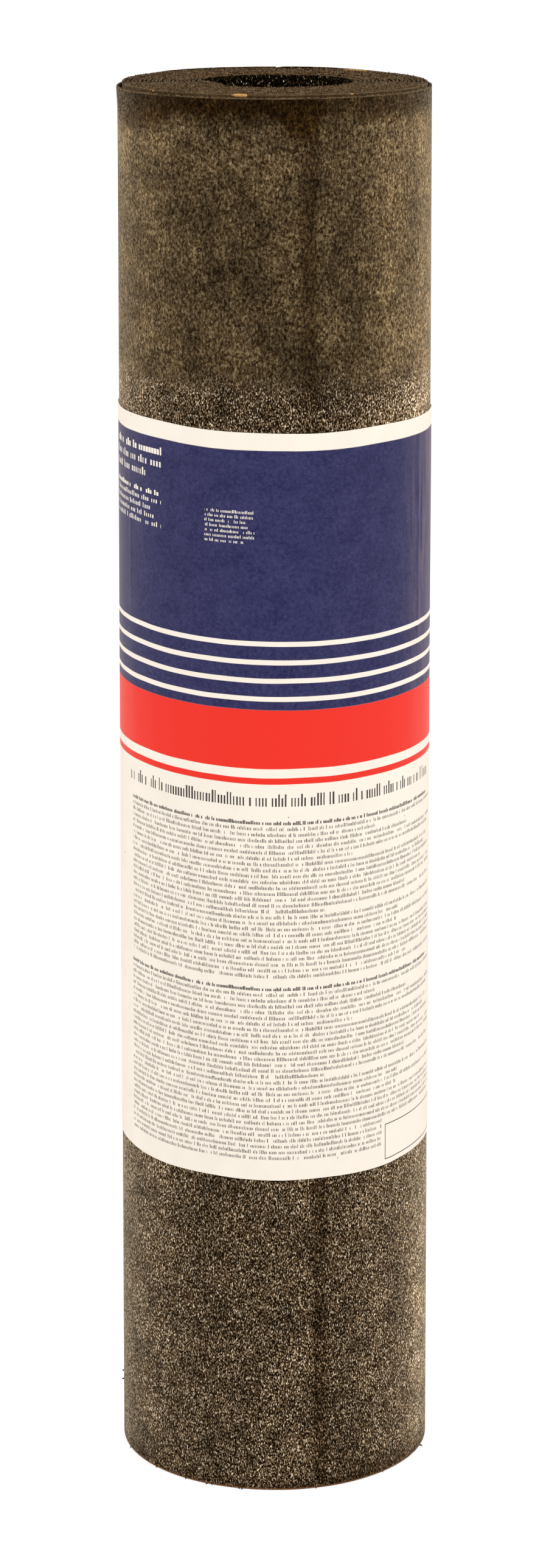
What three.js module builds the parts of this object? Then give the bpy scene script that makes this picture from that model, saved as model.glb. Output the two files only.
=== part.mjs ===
// Roll of mineral-surfaced roofing felt, standing on its end with a paper wrapper round its middle.
// One long bituminous sheet is wound on itself round an open bore, clockwise seen from above, so a
// single spiral gap shows on both ends. It starts in a blunt end inside the bore, at the front left,
// and stops in another on the outside, at the back.
// Millimetres, +Z up. The origin is on the floor, under the middle of the roll's footprint.
import * as THREE from "three";
import {
  mergeGeometries,
  mergeVertices,
  toCreasedNormals,
} from "three/addons/utils/BufferGeometryUtils.js";

// Driving dimensions of the sheet and of how it is wound
const SHEET_WIDTH = 1000; // a one-metre sheet, so the roll stands one metre tall
const SHEET_THICKNESS = 2.5; // felt, bitumen and granules together
const TURN_GAP = 0.4; // between one turn and the next, where the ends of the roll show it
const TURN_GAP_DEPTH = 4; // how deep the gap is open before the turns stick together
const BORE_RADIUS = 54.4; // at the sheet's inner end, before it spirals out
const FULL_TURNS = 19; // from there, and after them the sheet goes on round to the back

// Driving dimensions of the paper wrapper
const WRAPPER_HEIGHT = 535;
const WRAPPER_BELOW_MIDDLE = 2; // its middle lies this far below the roll's
const WRAPPER_THICKNESS = 0.5;
const WRAPPER_CLEARANCE = 0.3; // between the outermost turn and the paper
const WRAPPER_LAP = 45; // where one end of the paper is pasted over the other
const WRAPPER_LAP_FROM_SHEET_END = 60; // from the sheet's outer end to where the lap starts

// Facets round one turn, and how many of them lie between the sheet's inner end and the back
const STEPS_PER_TURN = 48;
const STEPS_TO_BACK = 17;

const feltMaterial = new THREE.MeshStandardMaterial({
  color: "#6b5d4a",
  roughness: 0.95,
  metalness: 0,
});
const paperMaterial = new THREE.MeshStandardMaterial({
  color: "#f4ede2",
  roughness: 0.7,
  metalness: 0,
});

// Worked out from the above
const turnPitch = SHEET_THICKNESS + TURN_GAP;
const backOfRoll = Math.PI; // the angle 0 is the front, at -Y, and angles grow by way of the right
const crease = THREE.MathUtils.degToRad(25);

// Where the sheet is after this many steps from its inner end: it goes round against the angles,
// and each step takes it further out.
const angleAt = (step) => backOfRoll + ((STEPS_TO_BACK - step) * 2 * Math.PI) / STEPS_PER_TURN;
const spiralOut = (step) => (turnPitch * step) / STEPS_PER_TURN;

// The turns from `first` to `last` across one end of the roll, as points (radius, height) from the
// bore outwards: each turn is flat over the sheet's thickness, with a V-shaped gap before the next.
// `end` is the height of that end of the roll, and `inward` is 1 where the roll lies above it, or -1.
function acrossTurns(first, last, end, inward) {
  const points = [];
  for (let turn = first; turn <= last; turn++) {
    const inner = BORE_RADIUS + turn * turnPitch;
    if (turn > first) {
      points.push(new THREE.Vector2(inner - TURN_GAP / 2, end + inward * TURN_GAP_DEPTH));
    }
    points.push(new THREE.Vector2(inner, end), new THREE.Vector2(inner + SHEET_THICKNESS, end));
  }
  return points;
}

// A closed outline, anticlockwise, from the points that `across` gives for the bottom and the top.
const closedOutline = (across) => [...across(0, 1), ...across(SHEET_WIDTH, -1).reverse()];

// The first `count` turns wherever the sheet is between `fromStep` and `toStep` of a turn. They are
// turned round the axis, and then each column is moved out to where the spiral is at that step.
function woundTurns(count, fromStep, toStep) {
  const section = closedOutline((end, inward) => acrossTurns(0, count - 1, end, inward));
  section.push(section[0]);
  const [from, to] = [angleAt(toStep), angleAt(fromStep)];
  const turned = new THREE.LatheGeometry(section, toStep - fromStep, from, to - from).rotateX(Math.PI / 2);
  const position = turned.getAttribute("position");
  for (let i = 0; i < position.count; i++) {
    const [x, y] = [position.getX(i), position.getY(i)];
    const step = toStep - Math.floor(i / section.length);
    const stretch = 1 + spiralOut(step) / Math.hypot(x, y);
    position.setXY(i, x * stretch, y * stretch);
  }
  return turned;
}

// A blunt end of the sheet: a flat face on an outline (radius, height), where the sheet is at `step`.
// It faces on round the way that the sheet is wound, and with `turnedRound` it faces back.
function sheetEnd(outline, step, turnedRound) {
  const face = new THREE.ShapeGeometry(new THREE.Shape(outline)).translate(spiralOut(step), 0, 0);
  face.rotateX(Math.PI / 2).rotateZ(angleAt(step) - Math.PI / 2);
  if (turnedRound) face.getIndex().array.reverse();
  return face;
}

// The roll has one turn more between the inner end and the back than it has the rest of the way.
function feltRoll() {
  // Inside the bore the step is one turn and the gap outside it, and on the outside it is the gap
  // and then the turn.
  const innerEnd = closedOutline((end, inward) => acrossTurns(0, 1, end, inward).slice(0, -1));
  const outerEnd = closedOutline((end, inward) =>
    acrossTurns(FULL_TURNS - 1, FULL_TURNS, end, inward).slice(1),
  );
  const pieces = [
    woundTurns(FULL_TURNS + 1, 0, STEPS_TO_BACK),
    woundTurns(FULL_TURNS, STEPS_TO_BACK, STEPS_PER_TURN),
    sheetEnd(innerEnd, 0, true),
    sheetEnd(outerEnd, STEPS_TO_BACK, false),
  ];
  for (const piece of pieces) piece.deleteAttribute("normal").deleteAttribute("uv");
  return toCreasedNormals(mergeVertices(mergeGeometries(pieces), 1e-3), crease);
}

// The outside of the roll in plan, from the corner of the sheet's outer end back along the outermost
// turn, with `clearance` added.
function rollOutline(clearance) {
  const corner = (stepsBack) => {
    const step = FULL_TURNS * STEPS_PER_TURN + STEPS_TO_BACK - stepsBack;
    const radius = BORE_RADIUS + spiralOut(step) + SHEET_THICKNESS + clearance;
    return new THREE.Vector2(radius * Math.sin(angleAt(step)), -radius * Math.cos(angleAt(step)));
  };
  return Array.from({ length: STEPS_PER_TURN }, (_, stepsBack) => corner(stepsBack));
}

// A band pulled tight round an anticlockwise outline: it spans the hollows.
function pulledTight(outline) {
  const band = [...outline];
  const isHollow = (i) => {
    const before = band.at(i - 1);
    const toHere = band[i].clone().sub(before);
    const toNext = band[(i + 1) % band.length].clone().sub(before);
    return toHere.cross(toNext) <= 0;
  };
  for (let i = 0; i < band.length; ) {
    if (isHollow(i)) {
      band.splice(i, 1);
      i = Math.max(0, i - 1);
    } else i++;
  }
  return band;
}

// The outside of the paper in plan: one thickness outside `inside`, and two where it laps.
function paperOutside(inside) {
  const path = new THREE.Path([...inside, inside[0]]);
  const distances = [0, ...path.getCurveLengths()];
  const lapStart = WRAPPER_LAP_FROM_SHEET_END;
  const lapEnd = lapStart + WRAPPER_LAP;
  const at = (distance) => path.getPoint(distance / path.getLength());
  const between = (from, to) => inside.filter((_, i) => distances[i] > from && distances[i] < to);
  const pushedOut = (points, offset) => points.map((p) => p.clone().setLength(p.length() + offset));
  return [
    ...pushedOut([inside[0], ...between(0, lapStart), at(lapStart)], WRAPPER_THICKNESS),
    ...pushedOut([at(lapStart), ...between(lapStart, lapEnd), at(lapEnd)], 2 * WRAPPER_THICKNESS),
    ...pushedOut([at(lapEnd), ...between(lapEnd, Infinity)], WRAPPER_THICKNESS),
  ];
}

function paperWrapper() {
  const inside = pulledTight(rollOutline(WRAPPER_CLEARANCE));
  const plan = new THREE.Shape(paperOutside(inside));
  plan.holes.push(new THREE.Path(inside));
  const paper = new THREE.ExtrudeGeometry(plan, { depth: WRAPPER_HEIGHT, bevelEnabled: false });
  return paper.translate(0, 0, (SHEET_WIDTH - WRAPPER_HEIGHT) / 2 - WRAPPER_BELOW_MIDDLE);
}

function mesh(name, geometry, material) {
  const made = new THREE.Mesh(geometry, material);
  made.name = name;
  return made;
}

// The roll's own axis isn't quite in the middle of its footprint, because the spiral is wider where
// the sheet ends, so the roll is moved to bring the middle over the origin.
const roll = new THREE.Group();
roll.add(mesh("felt_roll", feltRoll(), feltMaterial));
roll.add(mesh("paper_wrapper", paperWrapper(), paperMaterial));
const middle = new THREE.Box3().setFromObject(roll).getCenter(new THREE.Vector3());
roll.position.set(-middle.x, -middle.y, 0);

const part = new THREE.Group();
part.add(roll);
export default part;
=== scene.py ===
"""Standing roll of granule-surfaced roofing felt with a printed paper wrapper round its middle.

Everything is in metres, +Z up, with the origin on the floor under the middle of the roll. Lengths
written below are in millimetres unless a name or comment says otherwise, and MM turns them into
metres. Angles round the roll are 0 at the front and grow by way of the right.
"""

from functools import partial

import bpy
import numpy as np
from bpy.props import FloatProperty, FloatVectorProperty, IntProperty, PointerProperty
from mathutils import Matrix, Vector


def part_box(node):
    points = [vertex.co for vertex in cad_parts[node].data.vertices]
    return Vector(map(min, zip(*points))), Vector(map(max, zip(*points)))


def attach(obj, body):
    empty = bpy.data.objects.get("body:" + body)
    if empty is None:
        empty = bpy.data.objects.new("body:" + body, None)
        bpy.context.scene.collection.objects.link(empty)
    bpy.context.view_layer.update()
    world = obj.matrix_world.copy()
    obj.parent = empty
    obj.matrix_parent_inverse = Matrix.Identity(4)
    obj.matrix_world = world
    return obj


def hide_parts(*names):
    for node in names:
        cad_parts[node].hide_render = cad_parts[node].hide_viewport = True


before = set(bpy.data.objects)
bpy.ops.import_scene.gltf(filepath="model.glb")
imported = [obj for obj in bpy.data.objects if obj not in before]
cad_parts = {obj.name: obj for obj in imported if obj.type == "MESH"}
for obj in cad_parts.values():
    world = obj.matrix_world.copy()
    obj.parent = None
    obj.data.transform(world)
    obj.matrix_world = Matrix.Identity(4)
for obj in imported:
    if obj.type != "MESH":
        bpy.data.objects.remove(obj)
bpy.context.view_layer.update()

bl_info = {
    "name": "Roofing felt roll",
    "version": (1, 0, 0),
    "blender": (4, 5, 0),
    "location": "3D View > Sidebar > Felt roll",
    "description": "Builds a standing roll of granule-surfaced roofing felt in its paper wrapper",
    "category": "Add Mesh",
}

MM = 0.001
ROLL_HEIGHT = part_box("felt_roll")[1][2] / MM
WRAPPER_BOTTOM, WRAPPER_TOP = (corner[2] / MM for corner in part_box("paper_wrapper"))


def linear(hex_colour):
    """sRGB hex to linear: c / 12.92 below 0.04045, else ((c + 0.055) / 1.055) ^ 2.4."""
    c = np.array([int(hex_colour[i : i + 2], 16) for i in (1, 3, 5)]) / 255
    return tuple(np.where(c <= 0.04045, c / 12.92, ((c + 0.055) / 1.055) ** 2.4))


# ---- Settings --------------------------------------------------------


def length(name, description, default):
    return FloatProperty(
        name=name, description=description, default=default * MM, min=0, precision=5, unit="LENGTH"
    )


def number(name, description, default, least=0):
    return IntProperty(name=name, description=description, default=default, min=least)


def colour(name, description, default):
    return FloatVectorProperty(
        name=name, description=description, default=linear(default), size=3, min=0, max=1, subtype="COLOR"
    )


class FeltRollSizes(bpy.types.PropertyGroup):
    """How thick the sheet is, and how it is wound."""

    sheet_width: length("Sheet width", "Width of the sheet, and so height of the roll", ROLL_HEIGHT)
    sheet_thickness: length("Sheet thickness", "Felt and bitumen, without loose granules", 2.15)
    turn_pitch: length("Turn pitch", "From one turn of the sheet to the next", 2.9)
    bore_radius: length("Bore radius", "From the roll's axis to the sheet at its inner end", 54.4)
    full_turns: number("Full turns", "Whole turns from the inner end", 19, least=2)
    edge_unevenness: length("Edge unevenness", "How far turns end above or below each other", 0.45)
    outer_turn_drop: length("Outer turn drop", "How much lower the outermost turn ends at the front", 2.6)
    granule_size: length("Granule size", "Width of a typical mineral granule", 1.25)
    end_granules: number("End granules", "Loose granules on the top end", 13000)
    rim_granules: number("Rim granules", "Loose granules on each of the three rims", 700)


class PaperWrapperSizes(bpy.types.PropertyGroup):
    """Where the paper lies and how thick it is."""

    bottom: length("Bottom", "Height of the wrapper's lower edge", WRAPPER_BOTTOM)
    top: length("Top", "Height of the wrapper's upper edge", WRAPPER_TOP)
    thickness: length("Thickness", "Thickness of the paper", 0.2)
    clearance: length("Clearance", "Between the felt and the paper", 0.15)
    lap_start: length("Lap start", "From the sheet's outer end to where the paper starts", 60)
    lap: length("Lap", "How far the paper is pasted over its own start", 45)


class FeltRollColours(bpy.types.PropertyGroup):
    """Colours of the felt, the paper and the inks."""

    felt: colour("Felt", "Mineral surface seen from a distance", "#463520")
    dusty: colour("Dusty felt", "The same under a film of dust", "#74664b")
    bitumen: colour("Bitumen", "Bare bitumen between granules and on the underside", "#070502")
    granule_dark: colour("Dark granule", "Darkest of the mixed granules", "#22170a")
    granule_mid: colour("Mid granule", "Commonest granule", "#4f3927")
    granule_brown: colour("Brown granule", "Warm brown granule, with the light ones", "#70583a")
    granule_tan: colour("Tan granule", "Light brown granule", "#8d7758")
    granule_pale: colour("Pale granule", "Few, almost white granules", "#e4d3ba")
    # Darkens the lap band's bare bitumen, and the darker streak and the darker foot
    darkening_tint: colour("Bitumen stain", "Tints the lap band, the streak and the foot", "#8c7858")
    torn_felt: colour("Torn felt", "Dry fibre where the coating has come off", "#d9a362")
    worn_edge: colour("Worn edge", "Bottom corner of the sheet, worn to brown felt", "#8a5c34")
    paper: colour("Paper", "Unprinted wrapping paper", "#faf0e2")
    navy: colour("Navy ink", "Panel on the upper half of the wrapper", "#1a1a4f")
    # The navy made paler where rubbed, and towards the right side a painted sheen of the glossy ink
    rubbed_ink_and_sheen: colour("Rubbed ink", "The navy where handling has worn it", "#a8868e")
    red: colour("Red ink", "Band under the panel", "#f02e20")
    grey: colour("Grey ink", "Rows of small print", "#2c2627")
    floor: colour("Floor", "Studio floor", "#f2f1ef")


# ---- Numbers and meshes ----------------------------------------------


def ease(x, low, high):
    """Smooth step: 0 below `low`, 1 above `high`, and 3s^2 - 2s^3 of the share s between them."""
    share = np.clip((np.asarray(x, float) - low) / (high - low), 0, 1)
    return share * share * (3 - 2 * share)


def bump(x, middle, half_width):
    """A rounded hump: 1 at `middle`, falling as a cosine to 0 at `half_width` from it."""
    return 0.5 + 0.5 * np.cos(np.pi * np.clip((np.asarray(x, float) - middle) / half_width, -1, 1))


def uneven(x, wavelengths, seed):
    """Smooth unevenness from about -1 to 1: the sum of one sine for each wavelength, each with its
    own phase, divided by the root of their number."""
    phases = np.random.default_rng(seed).uniform(0, 2 * np.pi, len(wavelengths))
    sines = [np.sin(2 * np.pi * x / w + p) for w, p in zip(wavelengths, phases)]
    return sum(sines) / np.sqrt(len(wavelengths))


def put_in_scene(name, data):
    """Makes an object of this data and puts it in the scene."""
    made = bpy.data.objects.new(name, data)
    bpy.context.scene.collection.objects.link(made)
    return made


def build(name, points, faces, materials, replaced="felt_roll", smooth=True):
    """Edges of more than 60 degrees stay sharp on a smooth piece."""
    mesh = bpy.data.meshes.new(name)
    mesh.from_pydata((np.reshape(points, (-1, 3)) * MM).tolist(), [], faces)
    mesh.update()
    for material in materials:
        mesh.materials.append(material)
    mesh.polygons.foreach_set("use_smooth", np.full(len(mesh.polygons), smooth))
    if smooth:
        mesh.set_sharp_from_angle(angle=np.radians(60))
    if enclosed_volume(mesh) < 0:
        mesh.flip_normals()
    made = put_in_scene(name, mesh)
    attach(made, "root")
    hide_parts(replaced)
    return made


def enclosed_volume(mesh):
    """Sum over the triangles of a . (b x c) / 6, which is positive where the faces point outwards."""
    mesh.calc_loop_triangles()
    corners = np.empty(len(mesh.loop_triangles) * 3, np.int32)
    mesh.loop_triangles.foreach_get("vertices", corners)
    points = np.empty(len(mesh.vertices) * 3)
    mesh.vertices.foreach_get("co", points)
    a, b, c = points.reshape(-1, 3)[corners].reshape(-1, 3, 3).swapaxes(0, 1)
    return np.einsum("ij,ij->i", a, np.cross(b, c)).sum() / 6


def grid_faces(columns, rows, closed_rows=False):
    """Quads between neighbouring points of a grid whose point (i, j) has the number i * rows + j."""
    last_row = rows if closed_rows else rows - 1
    i, j = np.meshgrid(np.arange(columns - 1), np.arange(last_row), indexing="ij")
    here, right, up = i * rows, (i + 1) * rows, (j + 1) % rows
    return np.stack([here + j, right + j, right + up, here + up], axis=-1).reshape(-1, 4)


def tube_faces(columns, rows):
    """The same for a closed section carried along a path, with a face across each end."""
    ends = [list(range(rows)), list(range((columns - 1) * rows, columns * rows))[::-1]]
    return grid_faces(columns, rows, closed_rows=True).tolist() + ends


def set_uv(mesh, name, u, v):
    """Gives every corner of the mesh the (u, v) of its vertex."""
    layer = mesh.uv_layers.new(name=name)
    vertex = np.empty(len(mesh.loops), np.int32)
    mesh.loops.foreach_get("vertex_index", vertex)
    layer.data.foreach_set("uv", np.column_stack([np.ravel(u), np.ravel(v)])[vertex].ravel())


# ---- The wound sheet -------------------------------------------------

STEPS = 144  # columns of the sheet's mesh in one turn
TO_BACK = 17 / 48  # of a turn, from the sheet's inner end round to the back, where it stops
INNER_END = np.radians(-52.5)  # angle of the inner end, at the front left
AXIS = np.array([0.725, -0.725])  # the roll's own axis, beside the middle of its footprint
WEATHER_SIDE, CUT_EDGE, UNDERSIDE = 0, 1, 2  # the sheet's materials


def angle_at(turn):
    """Angle round the roll after so many turns from the inner end. It falls as the sheet is wound
    outwards."""
    return INNER_END - 2 * np.pi * np.asarray(turn)


def turns_back(angle):
    """How many turns, from 0 to 1, the outermost turn at this angle lies before the outer end."""
    return np.mod(angle - np.pi, 2 * np.pi) / (2 * np.pi)


def round_roll(angle, radius):
    """Point in plan at an angle and radius about the roll's axis: (r sin a, -r cos a)."""
    return np.stack([radius * np.sin(angle) + AXIS[0], -radius * np.cos(angle) + AXIS[1]], axis=-1)


def out_of_round(angle, height):
    """Factor on every radius: the roll is oval by a third of a millimetre, with shallow dents from
    handling that differ from one height to another."""
    oval = 0.0018 * np.sin(2 * angle + 0.7) + 0.0009 * np.sin(3 * angle + 2.1)
    oval = oval + 0.0006 * np.sin(5 * angle)
    dents = 0.0007 * np.sin(4 * angle + 0.011 * height) * np.sin(0.017 * height + angle)
    return 1 + oval + dents


class Winding:
    """The sheet's centre line in plan, from its inner end to its outer end."""

    def __init__(self, sizes):
        self.thickness = sizes.sheet_thickness / MM
        self.pitch = sizes.turn_pitch / MM
        self.bore = sizes.bore_radius / MM
        self.turns = sizes.full_turns + TO_BACK
        self.height = sizes.sheet_width / MM
        self.steps = round(self.turns * STEPS)
        self.turn = np.arange(self.steps + 1) / STEPS
        self.angle = angle_at(self.turn)
        self.radius = self.radius_at(self.turn)
        self.plan = round_roll(self.angle, self.radius)
        self.bend_tail()
        along = np.gradient(self.plan, axis=0)
        along /= np.linalg.norm(along, axis=1)[:, None]
        self.outward = np.stack([-along[:, 1], along[:, 0]], axis=-1)
        step = np.linalg.norm(np.diff(self.plan, axis=0), axis=1)
        self.distance = np.concatenate([[0], np.cumsum(step)])
        self.top = self.height - self.edge(sizes, 11) - self.outer_drop(sizes)
        self.foot = 0.6 * self.edge(sizes, 12)

    def radius_at(self, turn):
        """Middle of the sheet: the bore's radius, half the thickness and a pitch for each turn, with a
        little unevenness so that the gap between the turns opens and closes. The outermost turn
        stands off the one inside it at the front left."""
        loose = 0.11 * uneven(turn, (0.31, 0.47, 0.83, 1.37, 0.19), 5)
        last = self.turns - turn
        stands_off = 0.55 * bump(last, 0.30, 0.22) * (last < 1)
        return self.bore + self.thickness / 2 + self.pitch * turn + loose + stands_off

    def outside(self, turn):
        """Radius of the weather side."""
        return self.radius_at(turn) + self.thickness / 2

    def bend_tail(self):
        """The first 41 mm of the sheet don't follow the bore: they are creased inwards at the left
        and stick straight on to their end. The straight line is mixed in with a smooth step."""
        end, crease, crease_turn = np.array([-37.6, -26.5]) + AXIS, np.array([-54.3, 9.2]) + AXIS, 0.13
        turn = self.turn[:, None]
        straight = end + (crease - end) * turn / crease_turn
        follows = ease(turn, 0.095, 0.15)
        self.plan = np.where(turn < 0.2, straight + (self.plan - straight) * follows, self.plan)

    def edge(self, sizes, seed):
        """How far the sheet's edge lies inside the end of the roll."""
        along = uneven(self.turn, (1.37, 2.27, 0.81, 3.9, 1.71), seed)
        ragged = uneven(self.turn, (0.013, 0.021, 0.034, 0.055, 0.13), seed + 1)
        return sizes.edge_unevenness / MM * np.clip(0.6 + 0.5 * along + 0.12 * ragged, 0, 1.8)

    def outer_drop(self, sizes):
        """The last turn ends lower from the right round the front to the left, and at the back it ends
        0.8 mm higher than the rest, so that its dark inner side shows."""
        last = self.turns - self.turn
        rise = 0.8 * (1 - ease(last, 0.12, 0.22) + ease(last, 0.78, 0.88) * (last < 1))
        return sizes.outer_turn_drop / MM * ease(last, 0.10, 0.22) * (1 - ease(last, 0.78, 0.97)) - rise

    def place(self, turn, across, height):
        """Points on the wound sheet: the centre line at these turns, plus `across` along the normal."""
        column = np.clip(turn * STEPS, 0, self.steps)
        both = np.concatenate([self.plan, self.outward], axis=1)
        plan = np.stack([np.interp(column, np.arange(len(both)), line) for line in both.T], axis=-1)
        plan = plan[:, :2] + plan[:, 2:] * across[:, None]
        plan = AXIS + (plan - AXIS) * out_of_round(angle_at(turn), height)[:, None]
        return np.column_stack([plan, height])

    def top_at(self, turn):
        """Height of the sheet's top edge."""
        return np.interp(turn, self.turn, self.top)


def sheet_outline():
    """The sheet's section as (across, height) pairs: across from -0.5 on the underside to 0.5 on the
    weather side, height from 0 to 1000. It goes up the weather side, over the rounded top edge, down
    the underside and under the bottom edge. Also the material of the face that starts at each pair."""
    heights = np.array([0.35, 1.0, 3, 10, 60, 250, 500, 750, 940, 985, 996, 998.8, 999.6])
    across = np.array([0.40, 0.49, 0.5, 0.5, 0.5, 0.5, 0.5, 0.5, 0.5, 0.5, 0.5, 0.49, 0.40])
    side = np.stack([across, heights], axis=-1)
    top = np.array([[0.2, 999.95], [-0.15, 1000]])
    bottom = np.array([[-0.2, 0.05], [0.15, 0]])
    outline = np.concatenate([side, top, side[::-1] * (-1, 1), bottom])
    flat, edge = len(side) - 1, len(top) + 1
    return outline, np.repeat([WEATHER_SIDE, CUT_EDGE, UNDERSIDE, CUT_EDGE], [flat, edge, flat, edge])


def wind_sheet(winding, materials):
    """The section carried along the spiral: at each column the point is the centre line plus the
    outward normal times the share across, and the heights near each end follow that edge. At the
    left, the top of the outermost turn flares out by a cosine hump."""
    outline, face_material = sheet_outline()
    across, height = outline[:, 0] * winding.thickness, outline[:, 1] / 1000
    near_top, near_foot = ease(height, 0.9, 1), 1 - ease(height, 0, 0.1)
    z = height * winding.height + near_top * (winding.top - winding.height)[:, None]
    z = z + near_foot * winding.foot[:, None]
    last = winding.turns - winding.turn
    flare = 0.9 * bump(last, 0.27, 0.13)[:, None] * ease(height, 0.975, 1) ** 2
    plan = winding.plan[:, None, :] + winding.outward[:, None, :] * (across + flare)[..., None]
    plan = AXIS + (plan - AXIS) * out_of_round(winding.angle[:, None], z)[..., None]
    points = np.concatenate([plan, z[..., None]], axis=-1)
    columns, rows = z.shape
    made = build("felt_sheet", points, tube_faces(columns, rows), materials)
    face_material = np.concatenate([np.tile(face_material, columns - 1), [CUT_EDGE, CUT_EDGE]])
    made.data.polygons.foreach_set("material_index", face_material.astype(np.int32))
    set_uv(made.data, "sheet", np.repeat(winding.distance, rows) * MM, np.tile(height, columns))


# ---- Granules and loose bits -----------------------------------------


def add_stones(name, centres, widths, rng, material, upright=1.0):
    """Irregular chips: the six corners of an octahedron, each pushed in or out, stretched along three
    axes, turned at random, and then made `upright` times as tall. Each has a shade from 0 to 1."""
    corners = np.concatenate([np.eye(3), -np.eye(3)])
    upper = np.array([(0, 1, 2), (1, 3, 2), (3, 4, 2), (4, 0, 2)])
    lower = np.array([(1, 0, 5), (3, 1, 5), (4, 3, 5), (0, 4, 5)])
    count = len(centres)
    shape = corners * rng.uniform(0.7, 1.2, (count, 6, 1)) * rng.uniform(0.6, 1.25, (count, 1, 3))
    turn, _ = np.linalg.qr(rng.normal(size=(count, 3, 3)))
    turn *= np.sign(np.linalg.det(turn))[:, None, None]
    chips = np.einsum("nij,nkj->nki", turn, shape) * (widths / 2)[:, None, None]
    points = centres[:, None, :] + chips * (1, 1, upright)
    faces = np.concatenate([upper, lower]) + 6 * np.arange(count)[:, None, None]
    shade = np.repeat(rng.uniform(0, 1, count), 6)
    made = build(name, points, faces.reshape(-1, 3).tolist(), [material], smooth=False)
    made.data.attributes.new("shade", "FLOAT", "POINT").data.foreach_set("value", shade)


def scatter_on_end(winding, count, size, material):
    """Granules pressed into the cut edges at the top end, all but the outermost turn's. Turns are drawn
    with the sheet's length, so every part of the end gets the same number, and heights follow the edge
    underneath."""
    rng = np.random.default_rng(21)
    to_last_turn = np.interp(winding.turns - 1.1, winding.turn, winding.distance)
    turn = np.interp(rng.uniform(0, to_last_turn, count), winding.distance, winding.turn)
    across = winding.thickness * rng.uniform(-0.42, 0.42, count)
    widths = size * rng.uniform(0.35, 0.85, count)
    height = winding.top_at(turn) + rng.uniform(-0.4, 0.0, count) * widths
    add_stones("end_granules", winding.place(turn, across, height), widths, rng, material, upright=1.45)


def scatter_on_rims(winding, count, size, material):
    """Granules on the weather side just under the rim, on the step that the low outermost turn leaves
    at the front, and on the lip of the bore."""
    rng = np.random.default_rng(22)
    outside, inside = winding.thickness / 2 - 0.15, 0.1 - winding.thickness / 2
    outer = rng.uniform(winding.turns - 0.85, winding.turns - 0.15, count)
    second = rng.uniform(winding.turns - 1.9, winding.turns - 1.15, count)
    inner = rng.uniform(0.15, 1.15, count)
    centres = np.concatenate([
        winding.place(turn, np.full(count, across), winding.top_at(turn) - depth)
        for turn, across, depth in (
            (outer, outside, rng.exponential(0.7, count)),
            (second, outside, rng.uniform(0, 2.6, count)),
            (inner, inside, rng.exponential(1.2, count)),
        )
    ])
    widths = size * rng.uniform(0.3, 0.65, len(centres))
    add_stones("rim_granules", centres, widths, rng, material)


def ribbon(path, widths, thickness):
    """A thin closed strip on edge: a flattened eight-sided section (w/2 cos k, t/2 sin k) carried along
    a path, with its width upright, closed at both ends by faces across the section."""
    along = np.gradient(path, axis=0)
    along /= np.linalg.norm(along, axis=1)[:, None]
    side = (0.0, 0.0, 1.0) - along * along[:, 2:]
    side /= np.linalg.norm(side, axis=1)[:, None]
    normal = np.cross(along, side)
    k = np.arange(8) * np.pi / 4
    wide = side[:, None] * (np.cos(k)[:, None] * widths[:, None, None] / 2)
    thin = normal[:, None] * (np.sin(k)[:, None] * thickness / 2)
    return (path[:, None] + wide + thin).reshape(-1, 3), tube_faces(len(path), 8)


def join(name, ribbons, material):
    """Builds one piece of several ribbons."""
    faces, start = [], 0
    for part_points, part_faces in ribbons:
        faces += [[corner + start for corner in face] for face in part_faces]
        start += len(part_points)
    build(name, np.concatenate([part_points for part_points, _ in ribbons]), faces, [material])


def torn_slivers(winding, material):
    """Dry fibre showing where the coating has chipped off: a sliver on the step at the front, another
    three turns in at the back right, and two crumbs on the step. Each is a tapered strip."""
    share = np.linspace(0, 1, 17)
    ragged = (0.25 + 0.75 * ease(share, 0, 0.35)) * (1 - 0.3 * ease(share, 0.97, 1))
    ragged = ragged * (1 + 0.10 * uneven(share, (0.11, 0.27, 0.41), 31))
    across = np.full(17, winding.thickness / 2 + 0.1)
    ribbons = []
    for start, end, turns_in, below_top, width in (
        (-16.4, -10.4, 1, 1.3, 2.0), (150.5, 139.5, 3, 0.1, 1.3), (-52, -50.8, 1, 1.6, 1.0),
        (28, 29.3, 1, 1.4, 0.9),
    ):
        turn = winding.turns - turns_in - turns_back(np.radians(start + (end - start) * share))
        path = winding.place(turn, across, np.full(17, winding.height - below_top))
        ribbons.append(ribbon(path, width * ragged, 0.5))
    join("torn_slivers", ribbons, material)


def frayed_bits(winding, material):
    """Crumbs and short curled threads of bitumen that cling to the lower rim, and three on the sides.
    Each starts in the sheet, leaves it and curls as a flat arc."""
    rng = np.random.default_rng(41)
    on_rim = (
        (-50.3, 1.3), (-35.3, 1.7), (-26.1, 0.9), (-24.4, 0.7), (-13.7, 1.9), (-12.4, 1.2), (72.6, 1.9),
        (-71, 0.7), (15, 0.5), (98, 1.2), (131, 1.6), (170, 0.9), (205, 1.4), (238, 1.0), (44, 0.5),
    )
    on_sides = ((-88.5, 46.0, 1.0), (-88.0, 40.0, 1.3), (101.0, 215.0, 0.9))
    share = np.linspace(-0.2, 1, 7)
    arc = 1.3 / 112  # 1.3 mm round the roll, in radians
    ribbons = []
    for degrees, height, reach in (*((degrees, 0.9, reach) for degrees, reach in on_rim), *on_sides):
        curl = rng.uniform(-1, 1)
        angle = np.radians(degrees) + curl * arc * share**2
        z = np.maximum(height + 0.5 * reach * curl * share**2 - 0.3 * share, 0.32)
        path = winding.place(winding.turns - turns_back(angle), winding.thickness / 2 + reach * share, z)
        ribbons.append(ribbon(path, 1.2 * (1.1 - 0.5 * share), 0.8))
    join("frayed_bits", ribbons, material)


# ---- The paper wrapper -----------------------------------------------

PAPER_RADIUS = 112.6  # of the paper on average, so that distances round it come from angles


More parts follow.
